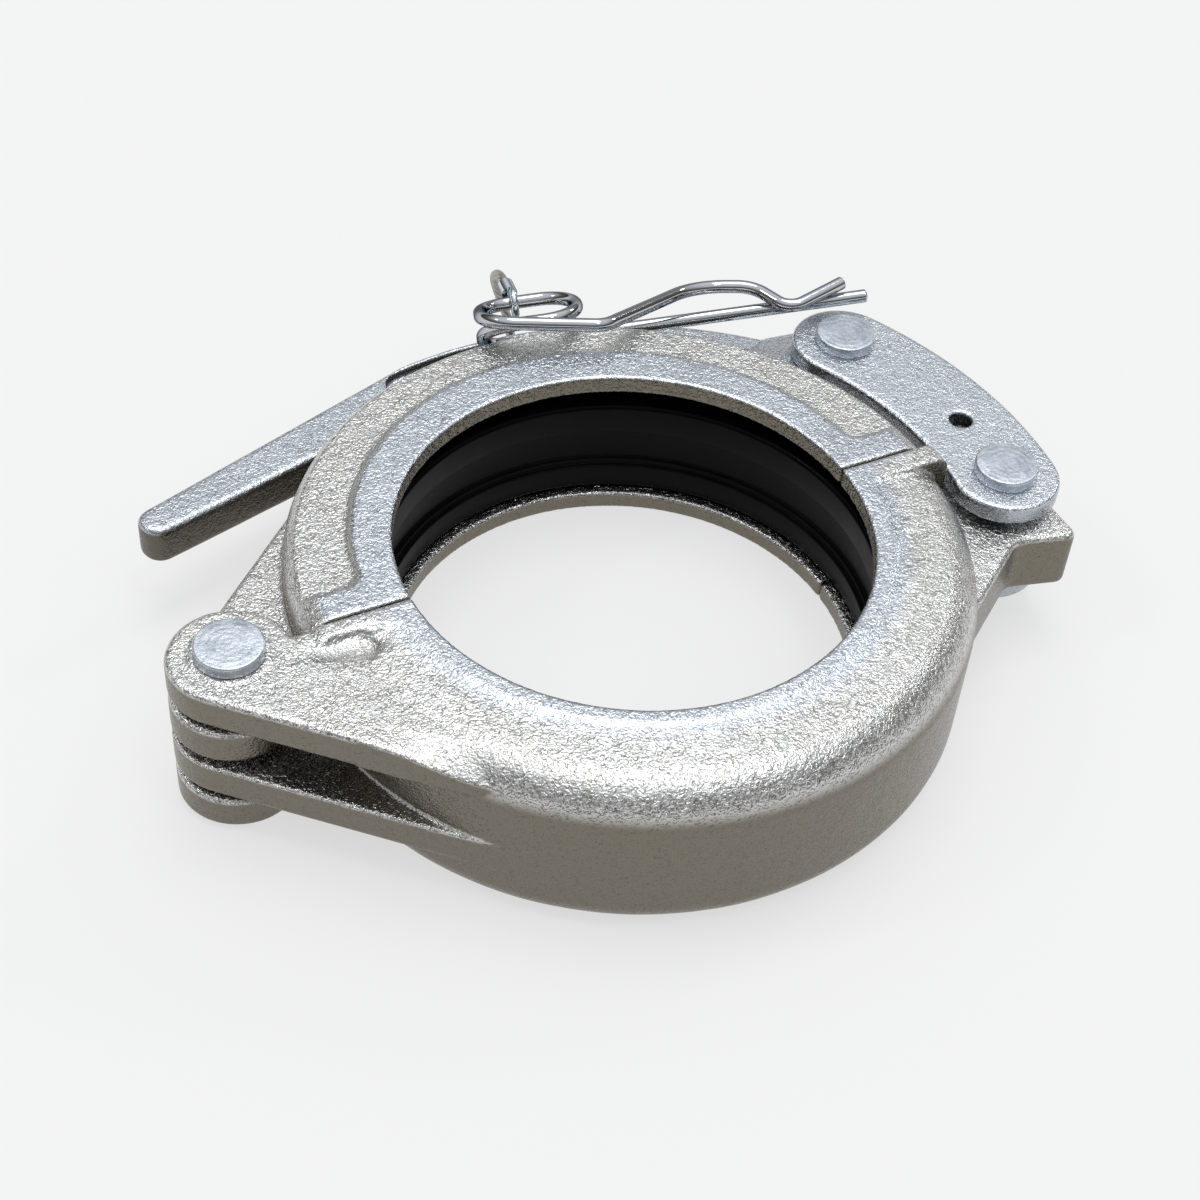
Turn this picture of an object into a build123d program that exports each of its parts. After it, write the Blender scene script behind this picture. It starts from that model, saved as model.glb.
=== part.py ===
"""Lever clamp for a 125 mm concrete delivery line, latched, with its safety clip laid on the lever.

Millimetres, +Z up. The origin is the centre of the bore at mid height. X runs along the split line,
with the hinge at -X and the latch at +X. The front half lies at -Y and the rear half at +Y.
"""
from build123d import *
from math import cos, hypot, pi, radians, sin, sqrt, tan
import os

# ring of the two halves
BORE_D = 135.0          # through the lips, over the pipe
RING_H = 52.6           # over both lips
RING_R = 98.0           # outer wall
CAVITY_R = 81.0         # room for the gasket
LIP_T = 5.9             # lip that hooks over the pipe flange
SPLIT_GAP = 1.6         # between the halves when latched
BAND_R = 77.0           # edge of the flat band round the bore on the rounded side
BAND_SHIFT = 2.2        # its centre lies past the split, so the band is narrow at the middle
BAND_H = 1.2            # height of the band's bevelled edge, mostly sunk in the crown
BAND_BEVEL = 3.0        # and its width
BAND_STEP = 0.2         # the band's height over the crown at the bore
CROWN_FALL = 1.6        # fall of the crown from the bore to the shoulder
SHOULDER_R = 12.5       # big outer rounding of the rounded side
RIM_R = 9.5             # outer rounding of the recessed side
RECESS_R = 77.0         # inner edge of the recess on the other side
RECESS_SHIFT = 4.0      # its centre lies in from the split, so the band there is wide at the middle
RECESS_DEPTH = 2.0
RECESS_DRAFT = 40.0     # lean of the recess's walls, degrees
RECESS_CORNER_R = 6.0   # rounded ends of the recess
RECESS_RIB_W = 9.0      # land left beside each split on the recessed side
RIB_W = 7.0             # land beside each split on the rounded side
RIB_OVERHANG = 2.5      # that land's reach past the wall at the latch
RIB_DROP = 13.0         # how far the land runs down the wall
RIB_CORNER_R = 5.0
SCOOP_R = 7.0           # finger-like hollow beside the hinge land
SCOOP_DEPTH = 2.6
SCOOP_LENGTH = 8.0      # between the centres of its round ends
SCOOP_INSET = 4.0       # centre of its outer end, in from the wall
SCOOP_OFF = 3.6         # its middle, off the land

# hinge
HINGE_X = 118.4         # pin centre from the bore centre
LUG_R = 17.0            # rounded end of each lug
LUG_T = 10.4            # lug thickness
LUG_INNER_Z = 1.7       # inner lug's face above mid height
LUG_OUTER_Z = 25.0      # outer lug's face above mid height
LUG_EDGE_R = 1.6        # rounding along the lug edges
LUG_FALL_AT = 46.0      # along the upper lug's side, where its top starts to fall
LUG_FALL = 32.0         # and how steeply, degrees
SEAT_H = 0.4            # raised pin seat on the outer lug
PIN_D = 13.0            # all three pins
PIN_FIT = 0.05          # running clearance round a pin
HEAD_D = 19.0
HEAD_T = 3.6
HEAD_EDGE = 0.6
TAIL_SINK_D = 18.0      # countersink that the hinge pin's tail is riveted into
TAIL_SINK_DEPTH = 2.5
TAIL_FIT = 0.15         # play of the riveted tail

# ears at the latch
EAR_T = 20.0
EAR_EDGE_R = 2.0        # rounding along its edges
EAR_X = 118.0           # pin bore centre, along the split line
EAR_Y = 13.1            # and off the split plane
EAR_END_X = 130.2       # outer edge
EAR_END_R = 12.0
HORN_X = 130.2          # corner of the hooked horn
HORN_Y = 38.2
HORN_R = 3.0
NOTCH_X = 110.8         # bottom of the notch that the lever's nose hooks into
NOTCH_Y = 33.0
NOTCH_R = 6.0
FLANK_X = 80.0          # where the flank runs into the ring
FLANK_Y = 55.0

# link
PLATE_T = 5.9
PLATE_GAP = 25.2        # between the two plates
PLATE_W = 33.0
PLATE_ARC_R = 119.0     # curve of the plates' middle line
PLATE_EDGE_R = 1.0
LEVER_PIN_X = 106.3
LEVER_PIN_Y = 60.1
SAFETY_HOLE_D = 7.0
SAFETY_HOLE_X = 119.3
SAFETY_HOLE_Y = 12.8

# lever
LEVER_T = 12.6          # handle
BOSS_T = 24.0           # pivot boss between the plates
BOSS_R = 13.0
BOSS_FLAT = 15.0        # full thickness reaches this far from the pin
BOSS_RAMP = 13.0        # and falls to the handle over this length
BOSS_OUT_AZ = 47.2      # where the arm's edges meet the boss, degrees round the lever pin
BOSS_IN_AZ = 218.2
RAMP_AZ = 119.5         # the way from the boss along the arm, degrees
ARM_CLEAR = 4.0         # between the ring wall and the arm's inner edge
ARM_IN_AZ = (34.7, 76.4, 120.7)     # start, middle and end of that edge, degrees round the bore
ARM_OUT_AZ = (42.6, 71.6, 101.1)    # and of the outer edge
ARM_W = (22.9, 18.2, 15.9)          # width of the arm at those three
GRIP_L = 105.0          # straight outer edge of the grip
GRIP_ANGLE = 199.6      # its direction, degrees
TIP_W = 11.3
TIP_R = 5.4
LEVER_EDGE_R = 1.8      # rounding along the arm's edges
POCKET_IN = 8.3         # middle line of the forged pockets, from the arm's inner edge
POCKET_W = 11.0
POCKET_DEPTH = 3.2
POCKET_START = 47.0     # degrees round the bore
POCKET_END = 103.0
NOSE_R = 5.0
NOSE_CLEAR = 3.2        # between the nose and the bottom of the notch
NOSE_X = 111.4
NECK_W = 22.0           # where the nose's neck leaves the boss
NECK_X = 107.3          # middle of the neck there
NECK_UP = 3.0           # and how far below the lever pin

# rubber gasket
GASKET_T = 9.9          # radial thickness
GASKET_FIT = 0.7        # to the cavity wall
GASKET_W = 32.8
GASKET_LIFT = 0.3       # above the lower lip
GASKET_GROOVE_D = 2.8   # groove round its inner face
GASKET_GROOVE_LOW = 10.4
GASKET_GROOVE_W = 11.0
GASKET_LIP_W = 1.6      # small sealing steps at the groove edges

# safety clip
WIRE_D = 4.2
COIL_R = 15.0           # half the coil's length along the legs, to the middle of the wire
COIL_BEND = 10.9        # radius of its rounded turns
COIL_CORNERS = 6        # a turn and a half between the two legs
PASS_2 = (-17.2, 21.0)  # second pass of the coil, over the rim: off and above the straight leg
PASS_3 = (4.2, 13.0)    # third pass, clear of the rim
PASS_4 = (-19.8, 25.4)  # last pass, above the second
LEG_START_X = 18.3      # middle of the coil on the straight leg, over the lever
LEG_START_Y = 106.4
LEG_OVER_LEVER = 2.1    # air between the leg and the lever there
LEG_LENGTH = 109.2
LEG_ANGLE = -18.5       # straight leg, seen from above
LEG_PITCH = 7.0         # and its rise to the link plate
DIP_1 = (22.0, -23.0, 20.5)     # waved leg: along, off and above the straight leg
CREST_1 = (54.5, 8.0, 6.8)
CREST_2 = (73.0, 5.6, 5.4)
DIP_2 = (82.5, -7.4, 4.6)
WAVE_END = (101.8, 2.4, 4.8)
WAVE_RADII = (7.0, 22.0, 12.0, 6.0)

# lanyard
ROPE_D = 3.2
LOOP_ALONG = 3.6        # where the loop holds the third pass, from its middle
LOOP_D = 2.4
LOOP_CLEAR = 0.4
BEND_SHARE = 0.45       # each bend of the rope takes this share of its shorter run
SLEEVE_D = 5.0
SLEEVE_L = 5.0
SLEEVE_AZ = 82.0        # the sleeve points away from the ring, degrees
STUD_D = 6.4
STUD_L = 5.0
STUD_NECK_D = 4.0
ROPE_LEAD = 6.0         # straight stretch at the sleeve
STUD_LEAD = 8.2         # and below the stud
STUD_AZ = 100.0         # where the rope is fixed under the lever, degrees round the bore
# the rope's route behind and under the lever, between the sleeve and the stud
ROPE_ROUTE = (
    (21.0, 141.0, 12.0), (24.0, 143.5, 3.0), (27.5, 142.0, -8.0), (27.0, 137.0, -18.0), (20.0, 131.0, -24.4),
    (7.0, 127.5, -24.4), (-8.0, 127.6, -24.4), (-23.0, 131.0, -24.4), (-37.0, 126.5, -24.4),
    (-44.0, 115.0, -24.4), (-38.5, 104.5, -24.4), (-27.5, 103.0, -24.4))

half_h = RING_H / 2
bore_r = BORE_D / 2
half_gap = SPLIT_GAP / 2
hinge = (-HINGE_X, 0.0)
ear_pin = (EAR_X, -EAR_Y)
lever_pin = (LEVER_PIN_X, LEVER_PIN_Y)
plate_in = PLATE_GAP / 2
plate_out = plate_in + PLATE_T
arm_in = RING_R + ARM_CLEAR
pocket_r = arm_in + POCKET_IN
loop_radius = (WIRE_D + LOOP_D) / 2 + LOOP_CLEAR
FAR = 4 * RING_R


def corner(face, x, y, radius):
    """The face with its outline corner nearest to (x, y) rounded."""
    vertex = min(face.vertices(), key=lambda v: hypot(v.X - x, v.Y - y))
    return fillet(vertex, radius)


def outline(*points):
    """A closed flat face through the points, with straight sides."""
    return make_face(Polyline(*points, close=True))


def polar(radius, angle, about=(0.0, 0.0)):
    """The point at a radius and an angle in degrees about a centre."""
    return about[0] + radius * cos(radians(angle)), about[1] + radius * sin(radians(angle))


def slab(face, low, high):
    """The face pulled up from height low to height high."""
    return extrude(Pos(0, 0, low) * face, high - low)


def turned(points):
    """A full turn about Z of an outline given as radius and height."""
    return revolve(Plane.XZ * outline(*points), Axis.Z)


def ring_section():
    """Section of the front half: rounded side up, recessed side down."""
    crown = half_h - BAND_STEP
    lip = half_h - LIP_T
    face = outline(
        (bore_r, crown), (RING_R, crown - CROWN_FALL), (RING_R, -half_h), (bore_r, -half_h), (bore_r, -lip),
        (CAVITY_R, -lip), (CAVITY_R, lip), (bore_r, lip))
    face = corner(face, RING_R, crown - CROWN_FALL, SHOULDER_R)
    return corner(face, RING_R, -half_h, RIM_R)


def band():
    """The flat band round the bore on the rounded side, with its bevelled edge."""
    return Pos(0, BAND_SHIFT, half_h - BAND_H / 2) * Cone(BAND_R, BAND_R - BAND_BEVEL, BAND_H)


def split_land(x_wall, side):
    """The flat land beside a split on the rounded side, from the band out over the shoulder."""
    start = (bore_r + BAND_R) / 2
    face = outline((start, half_h), (x_wall, half_h), (x_wall, half_h - RIB_DROP),
                   (CAVITY_R + LIP_T, half_h - RIB_DROP), (CAVITY_R, half_h - LIP_T), (start, half_h - LIP_T))
    face = corner(face, x_wall, half_h, RIB_CORNER_R)
    land = extrude(Plane.XZ * face, RIB_W + half_gap)
    return land if side > 0 else mirror(land, Plane.YZ)


def recess():
    """The shallow forged recess of the lower side, stopped short of both splits."""
    edge = RECESS_RIB_W + half_gap
    around = Circle(RING_R + RIM_R) - Pos(0, -RECESS_SHIFT) * Circle(RECESS_R)
    face = around & Pos(0, -FAR / 2 - edge) * Rectangle(FAR, FAR)
    reach = sqrt(RECESS_R ** 2 - (edge - RECESS_SHIFT) ** 2)
    sketch = face.faces()[0]
    for x in (-reach, reach):
        sketch = corner(sketch, x, -edge, RECESS_CORNER_R).faces()[0]
    return extrude(Pos(0, 0, -half_h) * sketch, RECESS_DEPTH, taper=RECESS_DRAFT)


def scoop():
    """The smooth hollow beside the land at the hinge."""
    outer = -RING_R + SCOOP_INSET
    y = -(RIB_W + half_gap + SCOOP_OFF)
    z = half_h - BAND_STEP + SCOOP_R - SCOOP_DEPTH
    rod = Pos(outer + SCOOP_LENGTH / 2, y, z) * Rot(0, 90, 0) * Cylinder(SCOOP_R, SCOOP_LENGTH)
    ends = [Pos(x, y, z) * Sphere(SCOOP_R) for x in (outer, outer + SCOOP_LENGTH)]
    return rod + ends[0] + ends[1]


def lug_fall(high):
    """What the upper lug loses where its top falls away to the ring's shoulder."""
    lean = (RING_R - LUG_R) / HINGE_X
    run = (sqrt(1 - lean ** 2), -lean, 0)
    start = (hinge[0] + LUG_R * -lean + LUG_FALL_AT * run[0],
             LUG_R * -run[0] + LUG_FALL_AT * run[1], high)
    side = Plane(origin=start, x_dir=run, z_dir=(run[1], -run[0], 0))
    drop = RING_R * tan(radians(LUG_FALL))
    wedge = outline((0, 0), (RING_R, -drop), (RING_R, RING_H), (0, RING_H))
    return extrude(side * wedge, FAR, both=True)


def lug(low, high):
    """A hinge lug: the knuckle and the plate that runs from it, tangent to the ring wall."""
    lean = (RING_R - LUG_R) / HINGE_X
    normal = (-lean, -sqrt(1 - lean ** 2))
    knuckle_side = (hinge[0] + LUG_R * normal[0], hinge[1] + LUG_R * normal[1])
    ring_side = (RING_R * normal[0], RING_R * normal[1])
    plate = outline(hinge, knuckle_side, ring_side, (0, 0))
    plate = plate & Pos(0, -FAR / 2 - half_gap) * Rectangle(FAR, FAR)
    face = plate - Circle(RING_R - SHOULDER_R) + Pos(*hinge) * Circle(LUG_R)
    solid = slab(face, low, high)
    if high > 0:
        solid = solid - lug_fall(high)
    rims = [e for e in solid.edges().filter_by_position(Axis.Z, high, high) +
            solid.edges().filter_by_position(Axis.Z, low, low)
            if hypot(e.center().X, e.center().Y) > RING_R]
    return fillet(rims, LUG_EDGE_R)


def ear():
    """The latch ear: pin boss, hooked horn and the notch behind it."""
    face = outline(
        (RING_R - LIP_T, -half_gap), (EAR_END_X, -half_gap), (HORN_X, -HORN_Y), (NOTCH_X, -NOTCH_Y),
        (FLANK_X, -FLANK_Y), (FLANK_X - LIP_T / 2, -FLANK_Y + LIP_T))
    face = corner(face, EAR_END_X, -half_gap, EAR_END_R)
    face = corner(face, HORN_X, -HORN_Y, HORN_R)
    face = corner(face, NOTCH_X, -NOTCH_Y, NOTCH_R)
    solid = slab(face, -EAR_T / 2, EAR_T / 2)
    rims = [e for e in solid.edges() - solid.edges().filter_by(Axis.Z)
            if e.center().Y < -half_gap and hypot(e.center().X, e.center().Y) > RING_R]
    return fillet(rims, EAR_EDGE_R)


def half_forging():
    """One half, as it lies in front. The rear half is the same forging turned over."""
    ring = revolve(Plane.XZ * ring_section(), Axis.Z)
    ring = ring & Pos(0, -FAR / 2 - half_gap, 0) * Box(FAR, FAR, FAR)
    body = ring + band() + split_land(RING_R + RIB_OVERHANG, 1) + split_land(RING_R, -1)
    body = body & Pos(0, -FAR / 2 - half_gap, 0) * Box(FAR, FAR, FAR)
    body = body - recess() - scoop()
    body = body + lug(LUG_OUTER_Z - LUG_T, LUG_OUTER_Z) + lug(-LUG_INNER_Z - LUG_T, -LUG_INNER_Z) + ear()
    seat = Cylinder(HEAD_D / 2 + 1, SEAT_H, align=(Align.CENTER, Align.CENTER, Align.MIN))
    body = body + Pos(*hinge, LUG_OUTER_Z) * seat
    inside = Cylinder(CAVITY_R, RING_H - 2 * LIP_T)
    body = body - inside - Cylinder(bore_r, RING_H)
    body = body - Pos(*ear_pin) * Cylinder(PIN_D / 2 + PIN_FIT, EAR_T + 1)
    return body


def hinge_bore(play):
    """Pin bore through the hinge stack with the tail's countersink in its outer face."""
    top = LUG_OUTER_Z + SEAT_H
    radius = PIN_D / 2 + play
    sink = TAIL_SINK_D / 2 + play
    return Pos(*hinge) * turned(
        [(0, -top), (radius, -top), (radius, top - TAIL_SINK_DEPTH), (sink, top), (sink, top + 1), (0, top + 1)])


def rear_place(solid):
    """Turns a front forging over to the rear, about the split line."""
    return Rot(180, 0, 0) * solid


def hinge_pin():
    """Headed pin through the four knuckles, its lower end riveted into the countersink."""
    top = LUG_OUTER_Z + SEAT_H
    shank = PIN_D / 2
    head = HEAD_D / 2
    sink = TAIL_SINK_D / 2
    pin = turned([
        (0, top + HEAD_T), (head - HEAD_EDGE, top + HEAD_T), (head, top + HEAD_T - HEAD_EDGE), (head, top),
        (sink, top), (shank, top - TAIL_SINK_DEPTH), (shank, TAIL_SINK_DEPTH - top),
        (sink - TAIL_FIT, -top), (0, -top)])
    return Pos(*hinge) * pin


def link_pin():
    """Rivet pin of the link, headed over both plates."""
    end = plate_out + HEAD_T
    shank = PIN_D / 2
    head = HEAD_D / 2
    upper = [(0, end), (head - HEAD_EDGE, end), (head, end - HEAD_EDGE), (head, plate_out), (shank, plate_out)]
    lower = [(x, -z) for x, z in reversed(upper)]
    return turned(upper + lower)


def link_plate():
    """One curved link plate, lying on z = 0."""
    middle = RadiusArc(ear_pin, lever_pin, -PLATE_ARC_R)
    face = SlotArc(middle, PLATE_W)
    for x, y, d in ((*ear_pin, PIN_D), (*lever_pin, PIN_D), (SAFETY_HOLE_X, SAFETY_HOLE_Y, SAFETY_HOLE_D)):
        face = face - Pos(x, y) * Circle(d / 2)
    plate = slab(face, 0, PLATE_T)
    rim = [w for w in plate.faces().sort_by(Axis.Z)[-1].wires()]
    outer = max(rim, key=lambda w: w.length)
    return fillet(outer.edges(), PLATE_EDGE_R)


def arm_outline():
    """Plan shape of the lever's arm: tapered grip, curved stretch round the ring, end under the boss."""
    outer = [polar(arm_in + w, a) for w, a in zip(ARM_W, ARM_OUT_AZ)]
    inner = [polar(arm_in, a) for a in ARM_IN_AZ]
    boss_out = polar(BOSS_R, BOSS_OUT_AZ, lever_pin)
    boss_in = polar(BOSS_R, BOSS_IN_AZ, lever_pin)
    tip_out = polar(GRIP_L, GRIP_ANGLE, outer[2])
    tip_in = polar(TIP_W, GRIP_ANGLE + 90, tip_out)
    arm = make_face(Wire([
        ThreePointArc(*outer), Line(outer[2], tip_out), Line(tip_out, tip_in), Line(tip_in, inner[2]),
        ThreePointArc(*reversed(inner)), Line(inner[0], boss_in), Line(boss_in, boss_out), Line(boss_out, outer[0])]))
    for x, y in (tip_out, tip_in):
        arm = corner(arm, x, y, TIP_R).faces()[0]
    return arm


def boss_outline():
    """Plan shape of the boss and of the nose that hooks into the notch, with its neck."""
    x, y = NOSE_X, NOTCH_Y + NOSE_CLEAR + NOSE_R
    neck_y = LEVER_PIN_Y - NECK_UP
    neck = outline((NECK_X - NECK_W / 2, neck_y), (NECK_X + NECK_W / 2, neck_y), (x + NOSE_R, y), (x - NOSE_R, y))
    return neck + Pos(*lever_pin) * Circle(BOSS_R) + Pos(x, y) * Circle(NOSE_R)


def lever():
    """Forged lever: thin I-section arm, thick boss between the link plates, hooked nose."""
    thick = BOSS_T / 2
    thin = LEVER_T / 2
    run = BOSS_FLAT + BOSS_RAMP
    arm = slab(arm_outline(), -thin, thin)
    arm = fillet(arm.edges() - arm.edges().filter_by(Axis.Z), LEVER_EDGE_R)
    side = outline((-FAR, thick), (BOSS_FLAT, thick), (run, thin), (run, -thin), (BOSS_FLAT, -thick), (-FAR, -thick))
    az = radians(RAMP_AZ)
    across = Plane(origin=(*lever_pin, 0), x_dir=(cos(az), sin(az), 0), z_dir=(sin(az), -cos(az), 0))
    boss = slab(arm_outline() + boss_outline(), -thick, thick) & extrude(across * side, FAR, both=True)
    body = arm + boss
    middle = ThreePointArc(*[polar(pocket_r, a) for a in (POCKET_START, (POCKET_START + POCKET_END) / 2, POCKET_END)])
    pocket = SlotArc(middle, POCKET_W)
    body = body - slab(pocket, thin - POCKET_DEPTH, thick + 1) - slab(pocket, -thick - 1, POCKET_DEPTH - thin)
    body = body - Pos(*lever_pin) * Cylinder(PIN_D / 2 + PIN_FIT, BOSS_T + 1)
    return body - Pos(*polar(pocket_r, STUD_AZ)) * Cylinder(STUD_NECK_D / 2, LEVER_T)


def gasket():
    """Rubber ring: two sealing bands with a groove between them."""
    outer = CAVITY_R - GASKET_FIT
    inner = outer - GASKET_T
    low = LIP_T - half_h + GASKET_LIFT
    high = low + GASKET_W
    floor_r = inner + GASKET_GROOVE_D
    g0 = low + GASKET_GROOVE_LOW
    g1 = g0 + GASKET_GROOVE_W
    mid = inner + GASKET_GROOVE_D / 2
    cut = GASKET_LIP_W
    return turned([
        (inner + cut, low), (outer, low), (outer, high), (inner + cut, high), (inner, high - cut),
        (inner, g1 + cut), (mid, g1 + cut), (mid, g1), (floor_r, g1), (floor_r, g0), (mid, g0),
        (mid, g0 - cut), (inner, g0 - cut), (inner, low + cut)])


def leg_place():
    """Frame of the straight leg: X along it from the coil, Y off it, Z up."""
    low = LEVER_T / 2 + WIRE_D / 2 + LEG_OVER_LEVER
    return Pos(LEG_START_X, LEG_START_Y, low) * Rot(0, 0, LEG_ANGLE) * Rot(0, -LEG_PITCH, 0)


def coil_corner(quarter):
    """Corner of the square that the coil rounds off, in the leg's frame."""
    passes = ((0, 0), PASS_2, PASS_3, PASS_4)
    side = 1 if quarter % 4 in (2, 3) else -1
    return side * COIL_R, *passes[(quarter + 1) // 2]


def safety_clip():
    """Sprung wire clip: straight leg, coil of one and a half turns, waved leg."""
    frame = leg_place()
    coil = [coil_corner(n) for n in range(COIL_CORNERS)]
    route = [(LEG_LENGTH, 0, 0), *coil, DIP_1, CREST_1, CREST_2, DIP_2, WAVE_END]
    points = [(frame * Pos(*p)).position for p in route]
    path = FilletPolyline(*points, radius=[COIL_BEND] * COIL_CORNERS + list(WAVE_RADII))
    return sweep(Plane(points[0], z_dir=points[1] - points[0]) * Circle(WIRE_D / 2), path=path)


def loop_place():
    """Frame of the lanyard loop: Z along the coil's third pass."""
    right, left = Vector(*coil_corner(3)), Vector(*coil_corner(4))
    along = (left - right).normalized()
    spot = (right + left) * 0.5 + along * LOOP_ALONG
    return leg_place() * Plane(spot, x_dir=(0, 1, 0), z_dir=along).location


def sleeve_start():
    """Where the sleeve begins, at the outside of the loop."""
    centre = loop_place().position
    az = radians(SLEEVE_AZ)
    away = Vector(cos(az), sin(az), 0)
    return centre + away * (loop_radius + LOOP_D / 2), away


def lanyard():
    """Loop round the coil, crimped sleeve, wire rope and the stud under the lever."""
    loop = loop_place() * Torus(loop_radius, LOOP_D / 2)
    start, away = sleeve_start()
    sleeve = Plane(start, z_dir=away) * Cylinder(
        SLEEVE_D / 2, SLEEVE_L, align=(Align.CENTER, Align.CENTER, Align.MIN))
    sleeve = sleeve - loop
    web = LEVER_T / 2 - POCKET_DEPTH
    stud_at = Vector(*polar(pocket_r, STUD_AZ), -web - STUD_L)
    stud = turned([(0, -web - STUD_L), (STUD_D / 2, -web - STUD_L), (STUD_D / 2, -web), (STUD_NECK_D / 2, -web),
                   (STUD_NECK_D / 2, web), (0, web)])
    stud = Pos(stud_at.X, stud_at.Y, 0) * stud
    exit_point = start + away * SLEEVE_L
    points = [exit_point, exit_point + away * ROPE_LEAD, *[Vector(*p) for p in ROPE_ROUTE],
              stud_at - Vector(0, 0, STUD_LEAD), stud_at]
    runs = [(q - p).length for p, q in zip(points, points[1:])]
    radii = []
    for i in range(1, len(points) - 1):
        turn = radians((points[i] - points[i - 1]).get_angle(points[i + 1] - points[i]))
        radii.append(BEND_SHARE * min(runs[i - 1], runs[i]) / tan(turn / 2))
    path = FilletPolyline(*points, radius=radii)
    rope = sweep(Plane(points[0], z_dir=away) * Circle(ROPE_D / 2), path=path)
    return loop, sleeve, rope, stud


os.makedirs("parts", exist_ok=True)
pieces = {}
front = half_forging()
pieces["front_half"] = front - hinge_bore(0)
pieces["rear_half"] = rear_place(front - hinge_bore(PIN_FIT))
pieces["gasket"] = gasket()
pieces["hinge_pin"] = hinge_pin()
pieces["upper_link_plate"] = Pos(0, 0, plate_in) * link_plate()
pieces["lower_link_plate"] = mirror(pieces["upper_link_plate"], Plane.XY)
pieces["ear_pin"] = Pos(*ear_pin) * link_pin()
pieces["lever_pin"] = Pos(*lever_pin) * link_pin()
pieces["lever"] = lever()
pieces["safety_clip"] = safety_clip()
(pieces["lanyard_loop"], pieces["lanyard_sleeve"], pieces["lanyard_rope"], pieces["lanyard_stud"]) = lanyard()

for name, piece in pieces.items():
    export_step(piece, f"parts/{name}.step")
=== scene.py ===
"""Looks of a lever clamp for concrete delivery pipe: finishes, softened forgings, wire clip and lanyard.

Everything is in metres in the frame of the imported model. Values marked mm are turned to metres by MM.
"""

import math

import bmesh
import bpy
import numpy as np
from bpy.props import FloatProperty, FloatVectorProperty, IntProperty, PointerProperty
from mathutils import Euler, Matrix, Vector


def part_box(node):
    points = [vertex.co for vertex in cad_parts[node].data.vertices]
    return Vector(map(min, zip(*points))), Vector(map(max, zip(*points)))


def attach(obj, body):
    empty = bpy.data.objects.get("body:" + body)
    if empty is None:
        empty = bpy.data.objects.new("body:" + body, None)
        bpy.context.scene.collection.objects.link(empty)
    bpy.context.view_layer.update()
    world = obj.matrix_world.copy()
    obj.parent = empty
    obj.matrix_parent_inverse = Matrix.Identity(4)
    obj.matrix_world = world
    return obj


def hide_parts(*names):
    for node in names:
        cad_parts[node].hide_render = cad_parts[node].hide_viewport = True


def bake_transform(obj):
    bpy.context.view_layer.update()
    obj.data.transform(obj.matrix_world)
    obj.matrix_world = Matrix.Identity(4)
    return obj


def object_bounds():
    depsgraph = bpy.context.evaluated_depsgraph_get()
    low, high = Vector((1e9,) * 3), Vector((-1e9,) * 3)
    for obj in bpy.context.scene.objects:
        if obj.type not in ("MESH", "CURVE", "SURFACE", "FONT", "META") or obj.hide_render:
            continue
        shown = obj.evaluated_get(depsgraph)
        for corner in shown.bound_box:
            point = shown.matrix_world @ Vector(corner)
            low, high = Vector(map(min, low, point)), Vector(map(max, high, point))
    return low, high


bl_info = {
    "name": "Pipe clamp looks",
    "version": (1, 0, 0),
    "blender": (4, 5, 0),
    "location": "3D View > Sidebar > Clamp",
    "description": "Dresses the packed pipe clamp and builds its stage",
    "category": "Object",
}

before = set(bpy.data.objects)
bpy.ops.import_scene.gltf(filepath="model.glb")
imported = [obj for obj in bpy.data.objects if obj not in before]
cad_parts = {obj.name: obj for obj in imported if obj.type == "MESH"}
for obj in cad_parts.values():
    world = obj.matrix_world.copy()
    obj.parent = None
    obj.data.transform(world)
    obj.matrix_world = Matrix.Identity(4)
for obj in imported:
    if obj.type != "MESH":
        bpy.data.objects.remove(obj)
CAD_BOX = [list(corner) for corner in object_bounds()]
MM = 0.001
MOST_TRIANGLES = 185000     # past this a softened forging is thinned

# the safety clip, mm and degrees: its wire, then the place, turn and pitch of its straight leg
WIRE_D = 4.2
WIRE_STEP = 0.6             # between the sections of the wire
WIRE_SIDES = 28             # points in each section
WIRE_CAP = 0.9              # length of the rounding at each end
LEG_START = (18.3, 106.4, 10.5)
LEG_TURN = -18.5
LEG_PITCH = 7.0
LEG_LENGTH = 109.2
# its coil and waves, in the leg's own frame: a coil pass is off the leg and above it, and a corner of
# the waves is along it, off it and above it
COIL_R = 15.0               # the coil's corners are this far both ways along the leg
COIL_BEND = 10.9
COIL_CORNERS = 6
COIL_PASSES = ((0.0, 0.0), (-17.2, 21.0), (4.2, 13.0), (-19.8, 25.4))
WAVE = ((22.0, -23.0, 20.5), (54.5, 8.0, 6.8), (73.0, 5.6, 5.4), (82.5, -7.4, 4.6), (101.8, 2.4, 4.8))
WAVE_RADII = (7.0, 22.0, 12.0, 6.0)

# the lanyard, mm, and the rope's route behind and under the lever, between the sleeve and the stud
ROPE_D = 3.2
ROPE_STEP = 0.45
ROPE_SIDES = 42
ROPE_STRANDS = 6
ROPE_LAY = 17.0             # along the rope for one turn of a strand
ROPE_GROOVE = 0.16          # depth of the grooves between strands, as a share of the radius
ROPE_LEAD = 6.0             # straight out of the sleeve
SLEEVE_L = 5.0
STUD_LEAD = 8.2             # straight down from the stud
ROPE_ROUTE = (
    (21.0, 141.0, 12.0), (24.0, 143.5, 3.0), (27.5, 142.0, -8.0), (27.0, 137.0, -18.0),
    (20.0, 131.0, -24.4), (7.0, 127.5, -24.4), (-8.0, 127.6, -24.4), (-23.0, 131.0, -24.4),
    (-37.0, 126.5, -24.4), (-44.0, 115.0, -24.4), (-38.5, 104.5, -24.4), (-27.5, 103.0, -24.4))

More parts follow.
